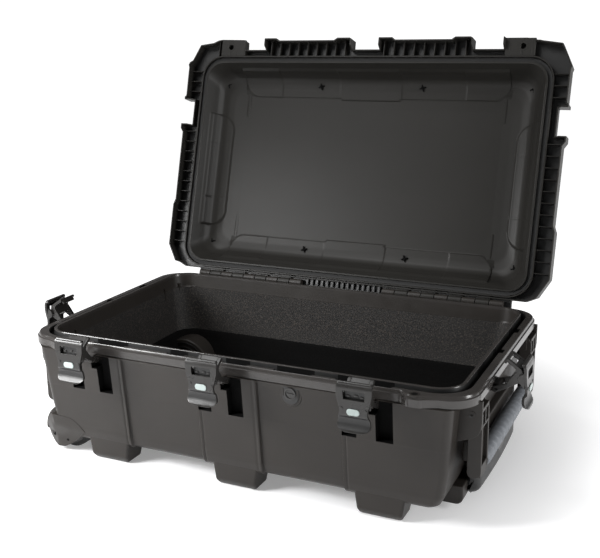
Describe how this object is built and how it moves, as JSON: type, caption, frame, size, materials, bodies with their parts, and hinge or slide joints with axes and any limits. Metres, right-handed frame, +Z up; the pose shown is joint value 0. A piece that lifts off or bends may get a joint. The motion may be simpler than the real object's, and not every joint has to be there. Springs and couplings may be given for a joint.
{
  "type": "hard equipment case",
  "caption": "Wheeled hard equipment case with hinged lid, claw latches, swing handles and a pull-out trolley handle, standing open.",
  "frame": {"origin": "middle of the open case's bounding box, at floor level", "axes": "+X along the case from the wheels to the trolley handle, +Y from the front latches to the hinge, +Z up"},
  "size_m": [0.9286, 0.7408, 0.7303],
  "materials": {
    "shell_plastic": "fine-grained moulded black plastic",
    "latch_plastic": "smooth black plastic",
    "button_plastic": "smooth pale grey-green plastic",
    "grip_rubber": "ribbed blue-grey rubber",
    "black_foam": "black foam",
    "tyre_rubber": "black rubber tread",
    "black_rubber": "soft black rubber",
    "tube_aluminium": "satin anodised",
    "pin_steel": "plain steel"
  },
  "bodies": {
    "base": {"base_shell": "shell_plastic", "hinge_pin_left": "pin_steel", "hinge_pin_right": "pin_steel", "latch_front_left_pivot_pin": "pin_steel", "latch_front_mid_pivot_pin": "pin_steel", "latch_front_right_pivot_pin": "pin_steel", "latch_side_left_pivot_pin": "pin_steel", "latch_side_right_pivot_pin": "pin_steel", "foam_liner": "black_foam", "valve_cap": "latch_plastic", "valve_membrane": "black_rubber", "handle_right_pin_front": "pin_steel", "handle_right_pin_rear": "pin_steel", "handle_left_pin_front": "pin_steel", "handle_left_pin_rear": "pin_steel", "trolley_outer_tube_front": "tube_aluminium", "trolley_outer_tube_rear": "tube_aluminium", "wheel_front_axle": "pin_steel", "wheel_rear_axle": "pin_steel"},
    "lid": {"lid_shell": "shell_plastic", "lid_gasket": "black_rubber"},
    "latch_front_left_claw_body": {"latch_front_left_claw": "latch_plastic"},
    "latch_front_left_lever_body": {"latch_front_left_lever": "latch_plastic", "latch_front_left_lever_pin": "pin_steel"},
    "latch_front_left_button_body": {"latch_front_left_button": "button_plastic"},
    "latch_front_mid_claw_body": {"latch_front_mid_claw": "latch_plastic"},
    "latch_front_mid_lever_body": {"latch_front_mid_lever": "latch_plastic", "latch_front_mid_lever_pin": "pin_steel"},
    "latch_front_mid_button_body": {"latch_front_mid_button": "button_plastic"},
    "latch_front_right_claw_body": {"latch_front_right_claw": "latch_plastic"},
    "latch_front_right_lever_body": {"latch_front_right_lever": "latch_plastic", "latch_front_right_lever_pin": "pin_steel"},
    "latch_front_right_button_body": {"latch_front_right_button": "button_plastic"},
    "latch_side_left_claw_body": {"latch_side_left_claw": "latch_plastic"},
    "latch_side_left_lever_body": {"latch_side_left_lever": "latch_plastic", "latch_side_left_lever_pin": "pin_steel"},
    "latch_side_left_button_body": {"latch_side_left_button": "button_plastic"},
    "latch_side_right_claw_body": {"latch_side_right_claw": "latch_plastic"},
    "latch_side_right_lever_body": {"latch_side_right_lever": "latch_plastic", "latch_side_right_lever_pin": "pin_steel"},
    "latch_side_right_button_body": {"latch_side_right_button": "button_plastic"},
    "handle_right_body": {"handle_right_frame": "shell_plastic", "handle_right_grip": "grip_rubber"},
    "handle_left_body": {"handle_left_frame": "shell_plastic", "handle_left_grip": "grip_rubber"},
    "trolley_handle": {"trolley_inner_tube_front": "tube_aluminium", "trolley_inner_tube_rear": "tube_aluminium", "trolley_grip": "shell_plastic"},
    "trolley_button_body": {"trolley_button": "latch_plastic"},
    "wheel_front": {"wheel_front_hub": "latch_plastic", "wheel_front_tyre": "tyre_rubber"},
    "wheel_rear": {"wheel_rear_hub": "latch_plastic", "wheel_rear_tyre": "tyre_rubber"}
  },
  "joints": [
    {"name": "lid_hinge", "type": "hinge", "parent": "base", "child": "lid", "pos_m": [0, 0.19033, 0.229], "axis": [1, 0, 0], "range_deg": [0, 106.5]},
    {"name": "latch_front_left_claw_hinge", "type": "hinge", "parent": "base", "child": "latch_front_left_claw_body", "pos_m": [-0.268, -0.31867, 0.203], "axis": [1, 0, 0], "range_deg": [-35, 30]},
    {"name": "latch_front_left_lever_hinge", "type": "hinge", "parent": "latch_front_left_claw_body", "child": "latch_front_left_lever_body", "pos_m": [-0.268, -0.35595, 0.22573], "axis": [1, 0, 0], "range_deg": [-15, 35]},
    {"name": "latch_front_left_lock_slide", "type": "slide", "parent": "latch_front_left_lever_body", "child": "latch_front_left_button_body", "axis": [0, 0, 1], "range_m": [-0.003, 0]},
    {"name": "latch_front_mid_claw_hinge", "type": "hinge", "parent": "base", "child": "latch_front_mid_claw_body", "pos_m": [-0.011, -0.31867, 0.203], "axis": [1, 0, 0], "range_deg": [-35, 30]},
    {"name": "latch_front_mid_lever_hinge", "type": "hinge", "parent": "latch_front_mid_claw_body", "child": "latch_front_mid_lever_body", "pos_m": [-0.011, -0.35595, 0.22573], "axis": [1, 0, 0], "range_deg": [-15, 35]},
    {"name": "latch_front_mid_lock_slide", "type": "slide", "parent": "latch_front_mid_lever_body", "child": "latch_front_mid_button_body", "axis": [0, 0, 1], "range_m": [-0.003, 0]},
    {"name": "latch_front_right_claw_hinge", "type": "hinge", "parent": "base", "child": "latch_front_right_claw_body", "pos_m": [0.246, -0.31867, 0.203], "axis": [1, 0, 0], "range_deg": [-35, 30]},
    {"name": "latch_front_right_lever_hinge", "type": "hinge", "parent": "latch_front_right_claw_body", "child": "latch_front_right_lever_body", "pos_m": [0.246, -0.35595, 0.22573], "axis": [1, 0, 0], "range_deg": [-15, 35]},
    {"name": "latch_front_right_lock_slide", "type": "slide", "parent": "latch_front_right_lever_body", "child": "latch_front_right_button_body", "axis": [0, 0, 1], "range_m": [-0.003, 0]},
    {"name": "latch_side_left_claw_hinge", "type": "hinge", "parent": "base", "child": "latch_side_left_claw_body", "pos_m": [-0.4125, -0.16367, 0.203], "axis": [0, -1, 0], "range_deg": [-35, 30]},
    {"name": "latch_side_left_lever_hinge", "type": "hinge", "parent": "latch_side_left_claw_body", "child": "latch_side_left_lever_body", "pos_m": [-0.44978, -0.16367, 0.22573], "axis": [0, -1, 0], "range_deg": [-15, 35]},
    {"name": "latch_side_left_lock_slide", "type": "slide", "parent": "latch_side_left_lever_body", "child": "latch_side_left_button_body", "axis": [0, 0, 1], "range_m": [-0.003, 0]},
    {"name": "latch_side_right_claw_hinge", "type": "hinge", "parent": "base", "child": "latch_side_right_claw_body", "pos_m": [0.4125, -0.16367, 0.203], "axis": [0, 1, 0], "range_deg": [-35, 30]},
    {"name": "latch_side_right_lever_hinge", "type": "hinge", "parent": "latch_side_right_claw_body", "child": "latch_side_right_lever_body", "pos_m": [0.44978, -0.16367, 0.22573], "axis": [0, 1, 0], "range_deg": [-15, 35]},
    {"name": "latch_side_right_lock_slide", "type": "slide", "parent": "latch_side_right_lever_body", "child": "latch_side_right_button_body", "axis": [0, 0, 1], "range_m": [-0.003, 0]},
    {"name": "handle_right_swing", "type": "hinge", "parent": "base", "child": "handle_right_body", "pos_m": [0.3945, -0.05867, 0.186], "axis": [0, -1, 0], "range_deg": [0, 85]},
    {"name": "handle_left_swing", "type": "hinge", "parent": "base", "child": "handle_left_body", "pos_m": [-0.3945, -0.05867, 0.186], "axis": [0, 1, 0], "range_deg": [0, 85]},
    {"name": "trolley_slide", "type": "slide", "parent": "base", "child": "trolley_handle", "axis": [1, 0, 0], "range_m": [0, 0.38]},
    {"name": "trolley_button_press", "type": "slide", "parent": "trolley_handle", "child": "trolley_button_body", "axis": [-1, 0, 0], "range_m": [0, 0.002], "stiffness_N_per_m": 300},
    {"name": "wheel_front_spin", "type": "hinge", "parent": "base", "child": "wheel_front", "pos_m": [-0.354, -0.25117, 0.038], "axis": [0, 1, 0], "continuous": true},
    {"name": "wheel_rear_spin", "type": "hinge", "parent": "base", "child": "wheel_rear", "pos_m": [-0.354, 0.13383, 0.038], "axis": [0, 1, 0], "continuous": true}
  ]
}
